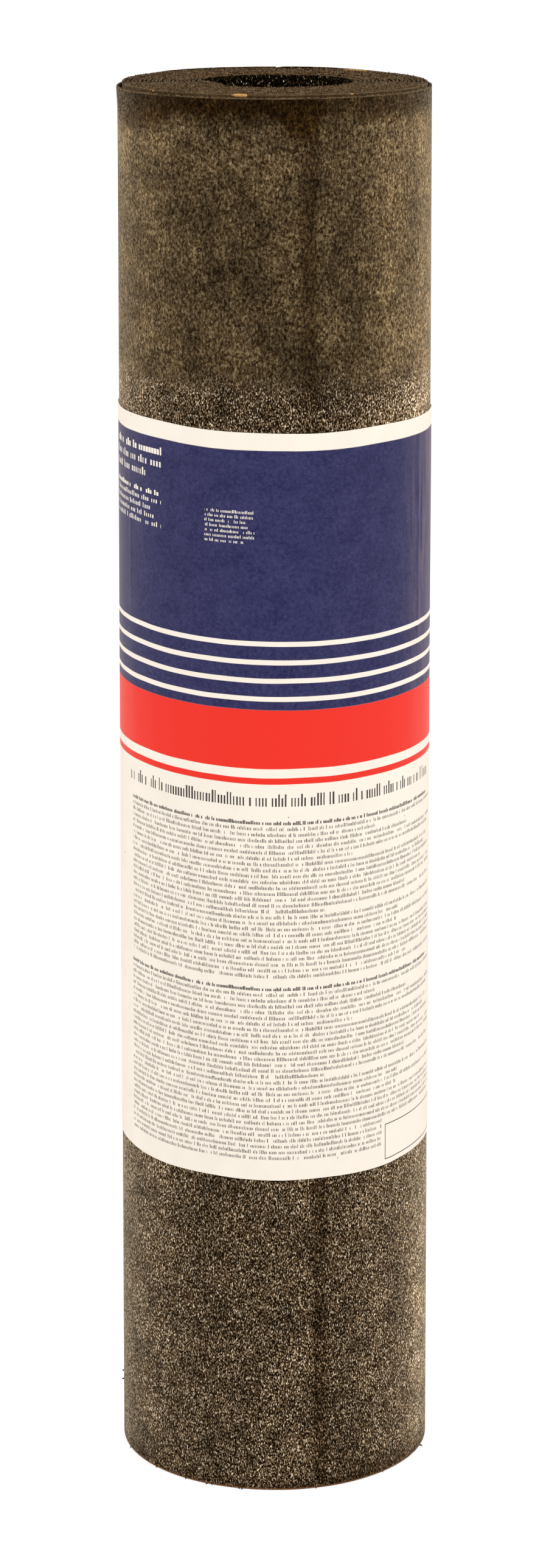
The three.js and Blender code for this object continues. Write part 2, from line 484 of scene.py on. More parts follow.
def wrapper_radius(winding, angle):
    """Outside of the felt that a tight band touches: the outermost turn, and the straight span that
    leaves the corner of the sheet's outer end and meets the turn again at a tangent."""
    felt = winding.outside(winding.turns - turns_back(angle))
    corner, foot = winding.outside(winding.turns), winding.outside(winding.turns - 1)
    reach = np.arccos(foot / corner)
    short_of_corner = np.mod(np.pi - angle, 2 * np.pi)
    span = foot / np.cos(np.clip(reach - short_of_corner, 0, reach))
    return np.where(short_of_corner < reach, np.maximum(span, felt), felt) + 0.1


def paper_relief(distance, up, bottom, top):
    """How far the paper stands off the felt at a distance round and a height: a lift along both edges
    that dies off away from them, shallow upright ripples, and creases where it has been handled."""
    edge_gap = np.minimum(up - bottom, top - up)
    lift = 0.16 * (0.5 + 0.5 * uneven(distance, (41, 67, 103, 29), 51)) * np.exp(-edge_gap / 14)
    ripples = 0.1 * (1 + uneven(distance, (23, 37, 61), 52) * np.sin(up / 61 + distance / 83))
    creases = sum(
        depth * bump(distance, at, wide) * ease(up, low, low + 30) * (1 - ease(up, high - 40, high))
        for at, wide, depth, low, high in (
            (127.5, 3.4, 0.45, 590, 752), (134.5, 2.6, 0.35, 640, 757), (117, 3.0, 0.25, 660, 745),
            (-129, 3.2, 0.3, 610, 740),
        )
    )
    return lift, ripples, creases


def paper_faces(columns, rows):
    """Faces of a closed sheet: the outer grid, the inner one turned over, and a wall between their four
    edges."""
    outer, total = grid_faces(columns, rows), columns * rows
    edges = np.concatenate([
        np.arange(0, total, rows), np.arange(total - rows + 1, total),
        np.arange(total - 1 - rows, 0, -rows), np.arange(rows - 2, 0, -1),
    ])
    following = np.roll(edges, -1)
    wall = np.stack([following, edges, edges + total, following + total], axis=-1)
    return np.concatenate([outer, outer[:, ::-1] + total, wall]).tolist()


def wrap_paper(winding, sizes, material):
    """A thin closed sheet: a grid over the angle round and the height, once for the printed face and
    once for the inside. The radius is that of the felt, plus the clearance, the paper's relief, one
    thickness more over the lap, and a curl at the free edge. The paper's ends are a little wavy, and it
    has crept up at both sides by a squared sine, and by a sine more at the left than at the right."""
    thickness, bottom, top = sizes.thickness / MM, sizes.bottom / MM, sizes.top / MM
    corner = winding.outside(winding.turns)
    start = -np.pi + sizes.lap_start / MM / corner
    finish = np.pi + (sizes.lap_start + sizes.lap) / MM / corner
    columns, rows = 481, 41
    share = np.linspace(0, 1, rows)
    share = share - 0.06 * np.sin(2 * np.pi * share)  # rows lie closer together near the edges
    angle, height = np.linspace(start, finish, columns), bottom + (top - bottom) * share
    around, up = np.meshgrid(angle, height, indexing="ij")
    distance, free_edge = around * PAPER_RADIUS, (finish - around) * PAPER_RADIUS
    over = (thickness + 0.12) * ease(around, start + 2 * np.pi - 0.12, start + 2 * np.pi - 0.01)
    curl = 0.35 * np.exp(-free_edge / 6) * (0.6 + 0.4 * np.sin(up / 47))
    inside = wrapper_radius(winding, around) + sizes.clearance / MM
    for stands_off in (*paper_relief(distance, up, bottom, top), over, curl):
        inside = inside + stands_off
    inside = inside * out_of_round(around, up)
    from_middle = 2 * share - 1
    wavy = 0.5 * uneven(distance, (353, 176, 88), 53)
    creep = wavy * np.sign(up - (bottom + top) / 2) * np.abs(from_middle) ** 6
    creep = creep + 3.7 * np.sin(around) ** 2 - (1.2 + 0.6 * from_middle) * np.sin(around)
    points = np.stack([
        np.concatenate([round_roll(around, radius), (up + creep)[..., None]], axis=-1)
        for radius in (inside + thickness, inside)
    ])
    faces = paper_faces(columns, rows)
    made = build("printed_wrapper", points, faces, [material], "paper_wrapper")
    set_uv(made.data, "wrap", np.tile(distance.ravel(), 2) * MM, np.tile(up.ravel(), 2) * MM)


# ---- Nodes -----------------------------------------------------------


def kind(name, **settings):
    """A kind of node: its type, and the settings that it starts from."""
    return "ShaderNode" + name, settings


def maths(*operations):
    """Kinds of Math node, one for each operation."""
    return [kind("Math", operation=operation) for operation in operations]


PLUS, MINUS, TIMES, OVER = maths("ADD", "SUBTRACT", "MULTIPLY", "DIVIDE")
TIMES_PLUS, POWER, MODULO = maths("MULTIPLY_ADD", "POWER", "FLOORED_MODULO")
IS_MORE, IS_LESS, LARGER, ABSOLUTE = maths("GREATER_THAN", "LESS_THAN", "MAXIMUM", "ABSOLUTE")
ROUND_DOWN, FRACTION, ARCTAN2, DEGREES = maths("FLOOR", "FRACT", "ARCTAN2", "DEGREES")
VECTOR_TIMES = kind("VectorMath", operation="MULTIPLY")
VECTOR_TIMES_PLUS = kind("VectorMath", operation="MULTIPLY_ADD")
SCALED = kind("VectorMath", operation="SCALE")
RANGE, SMOOTH = kind("MapRange"), kind("MapRange", interpolation_type="SMOOTHSTEP")
MIX, MIX_NUMBERS = kind("Mix", data_type="RGBA"), kind("Mix", data_type="FLOAT")
NOISE, VORONOI, DICE = map(kind, ("TexNoise", "TexVoronoi", "TexWhiteNoise"))
RAMP, MAPPING, BUMP, LIGHT_PATH = map(kind, ("ValToRGB", "Mapping", "Bump", "LightPath"))
SPLIT, JOIN, SPLIT_COLOUR = map(kind, ("SeparateXYZ", "CombineXYZ", "SeparateColor"))
COORDINATES, UV_MAP, ATTRIBUTE = map(kind, ("TexCoord", "UVMap", "Attribute"))
PRINCIPLED, DIFFUSE, EMISSION = map(kind, ("BsdfPrincipled", "BsdfDiffuse", "Emission"))
ADD_SHADER, MIX_SHADER, BACKGROUND = map(kind, ("AddShader", "MixShader", "Background"))
OUTPUT, WORLD_OUTPUT, GROUP = map(kind, ("OutputMaterial", "OutputWorld", "Group"))
GROUP_INPUT, GROUP_OUTPUT = ("NodeGroupInput", {}), ("NodeGroupOutput", {})


def add(tree, node_kind, *values, **named):
    """Adds a node of this kind. The values go to its sockets in the order in which it shows them, and
    each named one to the socket or the setting of that name. A value that is a node stands for the
    first output that it shows."""
    node_type, settings = node_kind
    node = tree.nodes.new(node_type)
    by_name = {socket.name.lower().replace(" ", "_"): socket for socket in node.inputs}
    for name, value in {**settings, **named}.items():
        if name not in by_name:
            setattr(node, name, value)
    shown = [socket for socket in node.inputs if socket.enabled]
    named_sockets = [(by_name[name], value) for name, value in named.items() if name in by_name]
    for socket, value in [*zip(shown, values), *named_sockets]:
        if isinstance(value, bpy.types.Node):
            value = next(output for output in value.outputs if output.enabled)
        if isinstance(value, bpy.types.NodeSocket):
            tree.links.new(value, socket)
        else:
            socket.default_value = (*value, 1)[:4] if socket.type == "RGBA" else value
    return node


def new_material(name):
    """An empty material, and the function that adds its nodes."""
    material = bpy.data.materials.new(name)
    material.use_nodes = True
    material.node_tree.nodes.clear()
    return material, partial(add, material.node_tree)


def stops(ramp_node, colours, interpolation="LINEAR", **positions):
    """Fills a Color Ramp with the named colours at these positions."""
    ramp = ramp_node.color_ramp
    ramp.interpolation = interpolation
    while len(ramp.elements) < len(positions):
        ramp.elements.new(1)
    for element, (name, position) in zip(ramp.elements, positions.items()):
        element.position, element.color = position, (*getattr(colours, name), 1)
    return ramp_node


def lay_over(node, surface, *layers):
    """The surface's colour under (mask, colour) layers, each mixed over what lies under it."""
    for mask, layer in layers:
        surface = node(MIX, mask, surface, layer)
    return surface


# ---- Materials of the felt -------------------------------------------

# A place on the felt is in metres, so a scale of 500 makes a pattern 2 mm across. `by_angle` and
# `by_height` make masks: smooth steps from one angle or height to another, from 0 to 1 or as given
BROWN_GLINT = linear("#ffd9a8")  # bitumen and brown stone tint what little they reflect


def angle_round(node, place):
    """Degrees round the roll from the front, positive to the right, as atan2(x, -y) of the place, and
    its height."""
    x, y, z = node(SPLIT, place).outputs
    return node(DEGREES, node(ARCTAN2, x, node(TIMES, y, -1))), z


def grain(node, place, squeeze, noise, cells, rare, glint):
    """Granules taller than wide, because the place's height is multiplied by `squeeze`: noise with this
    scale, detail and roughness, plus up to `glint` in the middle of those cells whose own value is
    above `rare`."""
    tall = node(MAPPING, place, scale=(1, 1, squeeze))
    granule = node(VORONOI, tall, cells)
    value = node(SPLIT_COLOUR, granule.outputs["Color"])
    lit = node(TIMES, node(RANGE, value, rare, 1, 0, glint), node(SMOOTH, granule, 0.55, 0.2))
    return node(PLUS, node(NOISE, tall, *noise), lit)


def painted_side_sheen(node, place, by_angle, by_height):
    """Painted sheen: the felt's colour is made paler towards its sides, as granules look at a glancing
    view and where the light from the right catches them. It lies on the right-hand side, most of it
    above the middle, and some on the left.
    """
    right = node(TIMES, by_angle(27, 46, 0, 0.85), by_height(0.2, 0.8, 0.3, 1))
    right = node(PLUS, right, by_angle(50, 70))
    right = node(TIMES, right, by_angle(150, 100))
    left = node(PLUS, by_angle(-32, -60, 0, 0.65), by_angle(-60, -86, 0, 0.6))
    left = node(TIMES, left, by_height(0.2, 0.8, 0.4, 1))
    left = node(TIMES, left, by_angle(-176, -130))
    patchy = node(RANGE, node(NOISE, place, 34, 5, 0.7), 0.35, 0.65, 0.6, 1.4)
    side_sheen = node(TIMES, node(PLUS, right, left), patchy)
    return node(TIMES, side_sheen, by_height(0.974, 0.988, 1, 0.15))


def lighter_and_darker(node, place, by_angle, by_height, clean):
    """Factor on the felt's colour: mottling from 30 mm across down to single granules where the sheet
    has been rubbed or is dusty, a painted sheen that makes the sides paler, dust just under the lap
    band, and a dull stretch low on the left of the front."""
    mottle = node(MINUS, node(NOISE, place, 32, 7, 0.78), 0.5)
    gain = node(TIMES_PLUS, mottle, node(RANGE, clean, 0, 1, 4.0, 3.3), 1.05)
    # Painted sheen: the felt is made paler towards its glancing sides, most of all on the right
    side_sheen = painted_side_sheen(node, place, by_angle, by_height)
    gain = node(TIMES, node(LARGER, gain, 0.35), node(PLUS, side_sheen, 1))
    under_band = node(TIMES, by_height(0.935, 0.955), by_height(0.992, 0.982))
    under_band = node(TIMES, under_band, by_angle(24, 44, 0.3, 0.12))
    on_left = node(TIMES, by_angle(-38, -26), by_angle(6, -6))
    low_down = node(TIMES, by_height(0.5, 0.3, 0, -0.15), by_height(0.05, 0.1))
    return node(TIMES, gain, node(PLUS, node(PLUS, under_band, 1), node(TIMES, on_left, low_down)))


def band_streak_and_foot(node, place, degrees, z, outermost):
    """Mask of the lap band's bare and rubbed-in bitumen, and of two darker marks. An upright darker
    streak sways from top to bottom, right of the front. The lap band under the top edge of the outermost
    turn has a ragged lower limit, deeper left of the streak and at the left side, and is weaker right of
    the streak. The bottom edge is darker too, deepest at the right."""
    by_angle = partial(node, SMOOTH, degrees)
    streak_at = node(RANGE, z, 1, 0, 11.6, 17.2)
    sway = node(TIMES_PLUS, node(NOISE, place, 16, 4, 0.6), 3.6, -1.8)
    off = node(PLUS, node(MINUS, degrees, streak_at), sway)
    patchy = node(SMOOTH, node(NOISE, place, 28, 3, 0.6), 0.3, 0.55, 0.5, 1)
    streak = node(TIMES, node(SMOOTH, node(ABSOLUTE, off), 4.5, 1.3, 0, 0.68), patchy)
    deeper = node(TIMES, node(SMOOTH, off, -13, 0, 0, 0.015), node(SMOOTH, off, 6, 1))
    deeper = node(PLUS, deeper, by_angle(-36, -55, 0, 0.010))
    ragged_top = node(TIMES_PLUS, node(NOISE, place, 42, 6, 0.72), 0.034, z)
    band = node(SMOOTH, node(PLUS, deeper, ragged_top), 0.990, 1.006)
    band = node(TIMES, node(TIMES, band, node(SMOOTH, off, 3, 10, 1, 0.72)), outermost)
    ragged_foot = node(TIMES_PLUS, node(NOISE, place, 48, 5, 0.7), 0.034, z)
    sides = node(PLUS, by_angle(8, 34, 0, 0.008), by_angle(-46, -62, 0, 0.004))
    foot = node(TIMES, node(SMOOTH, node(MINUS, ragged_foot, sides), 0.032, 0.012), 0.75)
    return node(LARGER, node(LARGER, band, foot), streak)


def worn_and_highlit_edges(node, colours, place, up, outermost):
    """Layers over the felt's edges. Where the turn below the outermost one shows, it is plain brown.
    The sheet's top corner is rubbed to light brown, a light line that is also a painted highlight where
    the rounded edge catches the light, and its bottom edge is worn to the felt."""
    inner = node(TIMES, node(TIMES_PLUS, outermost, -0.65, 0.65), node(SMOOTH, up, 0.9, 0.99))
    patchy = node(SMOOTH, node(NOISE, place, 70, 3, 0.6), 0.36, 0.6, 0.5, 1)
    # Light line on the top corner: rubbed granules, and a painted highlight of the rounded edge
    corner = node(TIMES, node(SMOOTH, up, 0.9986, 0.9994, 0, 0.5), patchy)
    foot = node(SMOOTH, up, 0.0008, 0.0020, 0.7, 0)
    return (inner, colours.felt), (corner, colours.granule_tan), (foot, colours.worn_edge)


def weather_side(colours, winding):
    """Mineral-surfaced bitumen: ceramic-coated stone granules pressed into hot bitumen. It gives the
    eye a dull, speckled brown. Low on the sheet the granules are clean and crisp, cream and tan on
    near-black; higher up they are blurred by dust and rubbed bitumen. It pales at a glancing view, and
    its sides are also painted paler, a painted sheen."""
    material, node = new_material("mineral granule surfacing")
    place = node(COORDINATES).outputs["Object"]
    degrees, z = angle_round(node, place)
    by_angle, by_height = partial(node, SMOOTH, degrees), partial(node, SMOOTH, z)
    # Granules 1 mm wide and 2 mm tall, with grit between them, and a few that catch the light
    crisp = grain(node, place, 0.42, (1500, 2, 0.6), 1100, 0.8, 0.35)
    crisp_tone = stops(
        node(RAMP, crisp), colours, bitumen=0.438, granule_dark=0.487, granule_mid=0.535,
        granule_tan=0.60, granule_pale=0.706,
    )
    # Higher up: soft rounded grain under a film of dust, with a few pale granules coming through
    soft = grain(node, place, 0.66, (560, 4, 0.8), 560, 0.9, 0.3)
    soft_tone = stops(
        node(RAMP, soft), colours, bitumen=0.353, granule_dark=0.431, felt=0.508, dusty=0.634,
        granule_tan=0.887,
    )
    # Clean up to 30 mm above the wrapper, with a ragged limit
    drift = node(MINUS, node(NOISE, place, 60, 4, 0.6), 0.5)
    clean = node(PLUS, by_height(0.813, 0.781, 0.02, 0.94), drift, use_clamp=True)
    clean = node(SMOOTH, clean, 0, 1, 0.08, 1)
    gain = lighter_and_darker(node, place, by_angle, by_height, clean)
    shaded = node(SCALED, node(MIX, clean, soft_tone, crisp_tone), gain)
    along, up, _ = node(SPLIT, node(UV_MAP, uv_map="sheet")).outputs
    outermost_from = winding.distance[-1] - 0.98 * 2 * np.pi * winding.radius[-1]
    outermost = node(IS_MORE, along, outermost_from * MM)
    darker_layer = (band_streak_and_foot(node, place, degrees, z, outermost), node(VECTOR_TIMES, shaded, colours.darkening_tint))
    surface = lay_over(node, shaded, darker_layer, *worn_and_highlit_edges(node, colours, place, up, outermost))
    # Granules stand half a millimetre proud where they are clean, on a surface that isn't flat
    stand = node(MIX_NUMBERS, clean, node(TIMES, soft, 1.6), crisp)
    stand = node(TIMES_PLUS, node(NOISE, place, 260, 2, 0.6), 1.5, stand)
    # At a glancing view only the tallest granules show, 4 mm apart, with the light on their dusty tops
    wide = node(MAPPING, place, scale=(1, 1, 2))
    tops = node(RANGE, node(NOISE, wide, 270, 3, 0.8), 0.40, 0.57, 0.1, 1)
    node(OUTPUT, node(
        PRINCIPLED, base_color=surface, roughness=0.9, ior=1.5, specular_ior_level=0.03,
        specular_tint=BROWN_GLINT, normal=node(BUMP, height=stand, distance=0.0004, strength=1.0),
        sheen_weight=tops, sheen_roughness=0.3, sheen_tint=linear("#ffebcc"),
    ))
    return material


def underside(colours):
    """Sanded bitumen: the back of the sheet, coated with hot bitumen and dusted with sand so that the
    turns don't stick. It gives the eye almost black with scattered pale flecks, drawn tall as the
    rollers leave them."""
    material, node = new_material("sanded bitumen underside")
    place = node(COORDINATES).outputs["Object"]
    # A fleck of sand is about half a millimetre wide, and they lie a millimetre apart
    fleck = node(VORONOI, node(MAPPING, place, scale=(1, 1, 0.5)), 1250)
    size, shade, _ = node(SPLIT_COLOUR, fleck.outputs["Color"]).outputs
    sand = stops(
        node(RAMP, shade), colours, "CONSTANT", granule_dark=0, granule_mid=0.45, granule_tan=0.78,
        granule_pale=0.98,
    )
    surface = node(MIX, node(IS_LESS, fleck, node(TIMES, size, 0.62)), colours.bitumen, sand)
    relief = node(BUMP, height=node(NOISE, place, 500, 3), distance=0.0003, strength=0.5)
    node(OUTPUT, node(
        PRINCIPLED, base_color=surface, roughness=0.9, ior=1.5, specular_ior_level=0.02, normal=relief
    ))
    return material


def cut_edge(colours):
    """Slit felt edge: fibre and bitumen cut by a wheel and smeared, with granule dust stuck to it. It
    gives the eye a dull brown, blotched a few millimetres across, without any shine."""
    material, node = new_material("slit felt edge")
    place = node(COORDINATES).outputs["Object"]
    blotch = node(NOISE, place, 520, 4, 0.8)
    patchy = node(TIMES_PLUS, node(NOISE, place, 150, 3, 0.7), 0.45, blotch)
    tone = stops(
        node(RAMP, patchy), colours, bitumen=0.60, felt=0.68, granule_mid=0.76, granule_tan=0.86
    )
    node(OUTPUT, node(
        PRINCIPLED, base_color=tone, roughness=0.9, ior=1.5, specular_ior_level=0.03,
        specular_tint=BROWN_GLINT, normal=node(BUMP, height=blotch, distance=0.0006, strength=0.7),
    ))
    return material


def loose_granule(colours):
    """Ceramic-coated stone chips: crushed rock, coloured and fired. Each chip has one colour of the
    mixture, from near-black to light brown, and is matt."""
    material, node = new_material("ceramic-coated stone granules")
    shade = node(ATTRIBUTE, attribute_name="shade").outputs["Fac"]
    # Dark chips and light ones lie in patches a few millimetres across
    patches = node(NOISE, node(COORDINATES).outputs["Object"], 170, 2, 0.6)
    patchy = node(MINUS, node(TIMES_PLUS, patches, 1.1, shade), 0.56)
    tone = stops(
        node(RAMP, patchy), colours, "CONSTANT", bitumen=0, granule_dark=0.12, granule_mid=0.26,
        granule_brown=0.48, granule_tan=0.66,
    )
    node(OUTPUT, node(
        PRINCIPLED, base_color=tone, roughness=0.85, ior=1.5, specular_ior_level=0.05,
        specular_tint=BROWN_GLINT,
    ))
    return material


def dry_fibre(colours):
    """Torn organic felt: dry, fluffy fibre under the coating. It gives the eye a light tan, streaked
    along the tear."""
    material, node = new_material("torn dry felt fibre")
    streaks = node(NOISE, node(COORDINATES).outputs["Object"], 900, 3)
    tone = stops(node(RAMP, streaks), colours, granule_tan=0.3, torn_felt=0.5)
    node(OUTPUT, node(PRINCIPLED, base_color=tone, roughness=0.95, specular_ior_level=0.1))
    return material


def bare_bitumen(colours):
    """Oxidised bitumen pulled into threads: dark brown with a faint gloss."""
    material, node = new_material("oxidised bitumen threads")
    spots = node(NOISE, node(COORDINATES).outputs["Object"], 700, 2)
    tone = stops(node(RAMP, spots), colours, bitumen=0.35, granule_mid=0.7)
    node(OUTPUT, node(PRINCIPLED, base_color=tone, roughness=0.6))
    return material


# ---- Print on the paper ----------------------------------------------

# Places on the paper are in millimetres: along it from the front, positive to the right, and height
PANEL_WIDTH = 353.0  # the print repeats on the front and the back of the roll
PANEL_MIDDLE = 15.0  # to the right of the front
NAVY_BAND = (570.8, 753.8)
RED_BANDS = ((529.0, 570.9), (518.0, 522.5))
PINSTRIPES = ((577.0, 580.5), (590.0, 593.5), (603.0, 606.5), (616.0, 619.5))
# An empty outlined box at the lower right, and the space that the small print leaves for it: the
# left and right sides, and then the lower and upper ones
BOX_OUTSIDE, BOX_INSIDE, BOX_SPACE = (
    ((87.4, 165), (234.6, 260.6)), ((88.1, 164.3), (235.3, 259.9)), ((84, 170), (230, 266.6)),
)
# Rows of strokes: top, pitch of the rows, number of rows, left, right, width of one stroke's cell,
# number of bold rows at the top, and how much too short the shortest row is
WHITE_ROWS = (
    (711.5, 3.5, 7, -51, -14, 1.05, 0, 12), (748.5, 8.6, 3, -170, -87, 3.1, 1, 22),
    (717, 5.6, 5, -170, -89, 2.4, 1, 22),
)
TITLE_ROW = (513.0, 14.0, 1, -129, 150, 2.3, 0, 0)
GREY_ROWS = ((492.3, 4.25, 27, -126, 158, 1.15, 1, 150), (372.6, 4.25, 30, -127, 158, 1.15, 1, 150))


def greeked_rows():
    """Node group that stands in for rows of print with plain upright strokes. The place is cut into
    rows by height and into cells along each row. A cell is left blank as a gap between words, or holds
    one stroke with its own width and height. Rows end at different places, and the first may be bold."""
    group = bpy.data.node_groups.new("rows of small strokes", "ShaderNodeTree")
    given = ("Along", "Height", "Top", "Pitch", "Rows", "Left", "Right", "Cell", "Bold rows", "Ragged")
    for name in given:
        group.interface.new_socket(name, in_out="INPUT", socket_type="NodeSocketFloat")
    group.interface.new_socket("Ink", in_out="OUTPUT", socket_type="NodeSocketFloat")
    node = partial(add, group)
    along, height, top, pitch, rows, left, right, width, bold_rows, ragged, _ = node(GROUP_INPUT).outputs
    down = node(OVER, node(MINUS, top, height), pitch)
    row, in_row = node(ROUND_DOWN, down), node(FRACTION, down)
    cells = node(TIMES_PLUS, row, 7.31, node(OVER, along, width))
    cell, in_cell = node(ROUND_DOWN, cells), node(FRACTION, cells)
    dice = node(DICE, node(JOIN, cell, row, 0.5))
    width_dice, height_dice, _ = node(SPLIT_COLOUR, dice.outputs["Color"]).outputs
    # The stroke fills 0.3 to 0.6 of its cell, and 0.28 more in a bold row
    wide = node(TIMES_PLUS, width_dice, 0.3, 0.3)
    wide = node(TIMES_PLUS, node(IS_LESS, down, bold_rows), 0.28, wide)
    # Most strokes are as tall as half the row's pitch, and one in four reaches higher
    start = node(TIMES_PLUS, node(IS_MORE, height_dice, 0.75), -0.2, 0.34)
    # Rows stop short by a share of their length, most by very little
    short = node(TIMES, node(POWER, node(DICE, row, noise_dimensions="1D"), 5), ragged)
    ink = node(IS_MORE, down, 0)
    for mask in (
        node(IS_LESS, down, rows), node(IS_MORE, dice, 0.17),  # one cell in six is a gap between words
        node(IS_LESS, in_cell, wide), node(IS_MORE, in_row, start), node(IS_LESS, in_row, 0.78),
        node(IS_MORE, along, left), node(IS_LESS, along, node(MINUS, right, short)),
    ):
        ink = node(TIMES, ink, mask)
    node(GROUP_OUTPUT, ink=ink)
    return group


def between(node, value, low, high, soft):
    """Mask that is 1 between `low` and `high`, with edges `soft` wide: the product of two ranges."""
    above = node(RANGE, value, low - soft / 2, low + soft / 2)
    below = node(RANGE, value, high - soft / 2, high + soft / 2, 1, 0)
    return node(TIMES, above, below)


def printed_areas(node, along, height):
    """Masks of the navy ink, the red, the small grey print and its title."""
    rows = partial(node, GROUP, along, height, node_tree=greeked_rows())

    def rectangle(sides, ends):
        return node(TIMES, between(node, along, *sides, 0.2), between(node, height, *ends, 0.2))

    navy = between(node, height, *NAVY_BAND, 0.5)
    for stripe in PINSTRIPES:
        navy = node(MINUS, navy, between(node, height, *stripe, 0.3))
    small, large, middling = (rows(*numbers) for numbers in WHITE_ROWS)
    navy = node(MINUS, navy, node(LARGER, small, node(LARGER, large, middling)))
    red = node(LARGER, *(between(node, height, *band, 0.4) for band in RED_BANDS))
    grey = node(LARGER, *(rows(*numbers) for numbers in GREY_ROWS))
    outline = node(MINUS, rectangle(*BOX_OUTSIDE), rectangle(*BOX_INSIDE))
    grey = node(LARGER, node(MINUS, grey, rectangle(*BOX_SPACE)), outline)
    return navy, red, grey, rows(*TITLE_ROW)


def specks(node, place, scale, widest):
    """Mask of round specks in four cells of ten: a disc round the cell's own point, up to `widest` of a
    cell in radius."""
    cell = node(VORONOI, place, scale)
    value = node(SPLIT_COLOUR, cell.outputs["Color"])
    return node(IS_LESS, cell, node(RANGE, value, 0.6, 1, 0, widest))


def navy_ink(node, colours, mm, rubbed_and_sheen, paper):
    """Navy ink: cloudy where it went on thinner, with pale specks, and paler where it is rubbed, which
    towards the right side is also a painted sheen of the ink at a glancing view. The noise is cut on the
    slant so that its lattice doesn't show."""
    slanted = node(MAPPING, mm, location=(3.3, 1.7, 0.4), rotation=(0.5, 0.7, 0.3))
    fine = node(NOISE, slanted, 0.36, 4, 0.85)
    thin = node(TIMES_PLUS, node(NOISE, slanted, 0.06, 3, 0.6), 0.35, fine)
    ink = node(SCALED, colours.navy, node(RANGE, thin, 0.475, 0.875, 0.68, 1.32))
    shows_paper = node(RANGE, thin, 0.54, 0.94, 0, 0.036)
    bare = node(TIMES_PLUS, specks(node, mm, 0.45, 0.17), 0.07, shows_paper)
    return lay_over(node, ink, (bare, paper), (node(TIMES, rubbed_and_sheen, 0.22), colours.rubbed_ink_and_sheen))


def printed_paper(colours):
    """Machine-glazed wrapping paper printed by flexography. It gives the eye warm white paper with a
    faint unevenness, flat slightly glossy navy and red, small grey strokes, scuffs and specks where
    granules have rubbed through the ink, and fine dirt on the white. The scuffs on the navy towards the
    right side are also a painted sheen of the ink."""
    material, node = new_material("printed wrapping paper")
    mm = node(VECTOR_TIMES, node(UV_MAP, uv_map="wrap"), (1 / MM, 1 / MM, 1))
    # Print register wanders by a few tenths of a millimetre
    wander = node(NOISE, mm, 0.02, 2).outputs["Color"]
    distance, height, _ = node(SPLIT, node(VECTOR_TIMES_PLUS, wander, (1.2, 1.2, 0), mm)).outputs
    from_left = PANEL_WIDTH / 2 - PANEL_MIDDLE
    along = node(MINUS, node(MODULO, node(PLUS, distance, from_left), PANEL_WIDTH), from_left)
    navy, red, grey, title = printed_areas(node, along, height)
    # Paper: faint cloudiness and a few dirt specks
    cloudy = node(RANGE, node(NOISE, mm, 0.043, 5), 0.3, 0.7, 0.97, 1.02)
    paper = node(MIX, specks(node, mm, 0.11, 0.05), node(SCALED, colours.paper, cloudy), colours.grey)
    # Upright rub marks at the right of the panel, stronger towards the right side, where they also
    # paint in the glossy ink's sheen at a glancing view
    upright = node(MAPPING, mm, rotation=(0, 0, 0.1), scale=(0.085, 0.012, 1))
    rub_line = node(SMOOTH, node(NOISE, upright, 1, 3, 0.55, distortion=1.2), 0.38, 0.72)
    rubbed_and_sheen = node(TIMES, rub_line, node(SMOOTH, along, 96, 140))
    surface = lay_over(
        node, paper, (red, colours.red), (navy, navy_ink(node, colours, mm, rubbed_and_sheen, paper)),
        (node(TIMES, grey, 0.92), colours.grey), (node(TIMES, title, 0.97), colours.grey),
    )
    gloss = node(RANGE, node(LARGER, navy, red), 0, 1, 0.72, 0.5)
    raised = node(TIMES_PLUS, node(NOISE, mm, 1.6, 3), 0.35, node(VORONOI, mm, 0.55))
    raised = node(TIMES_PLUS, rubbed_and_sheen, 1.5, raised)
    node(OUTPUT, node(
        PRINCIPLED, base_color=surface, roughness=gloss, ior=1.45, specular_ior_level=0.25,
        normal=node(BUMP, height=raised, distance=0.0001, strength=0.35),
        sheen_weight=0.14, sheen_roughness=0.35, sheen_tint=linear("#ffc890"),
    ))
    return material


# ---- Stage -----------------------------------------------------------

SENSOR_WIDTH = 36
FRAME_HEIGHT = 2576  # pixels of the picture's long side, which the sensor's width covers
FOCAL_PIXELS = 6911
CAMERA_SHIFT = (-0.0031, -0.31)
CAMERA_PLACE = (0.7, -2970.0, 1256.9)
CAMERA_PITCH = 7.91  # degrees down
LAMP_DISTANCE = 3.4  # metres from the middle of the roll
LAMP_WIDTH, LAMP_HEIGHT = 1.8, 2.4  # metres
LAMPS = (  # name, degrees round, degrees up, and share of the level at which colours render as written
    ("left softbox", -58, 32, 0.36), ("right softbox", 58, 28, 0.40), ("back softbox", 176, 40, 0.26),
)
WHITE = (1, 1, 1)


def set_camera():
    """In front of the roll and above its middle, tilted down a little and shifted down the rest."""
    data = bpy.data.cameras.new("camera")
    data.sensor_fit, data.sensor_width = "AUTO", SENSOR_WIDTH
    data.lens = SENSOR_WIDTH * FOCAL_PIXELS / FRAME_HEIGHT
    data.shift_x, data.shift_y = CAMERA_SHIFT
    data.clip_start, data.clip_end = 0.05, 100
    camera = put_in_scene("camera", data)
    camera.location = Vector(CAMERA_PLACE) * MM
    camera.rotation_euler = (np.radians(90 - CAMERA_PITCH), 0, 0)
    bpy.context.scene.camera = camera


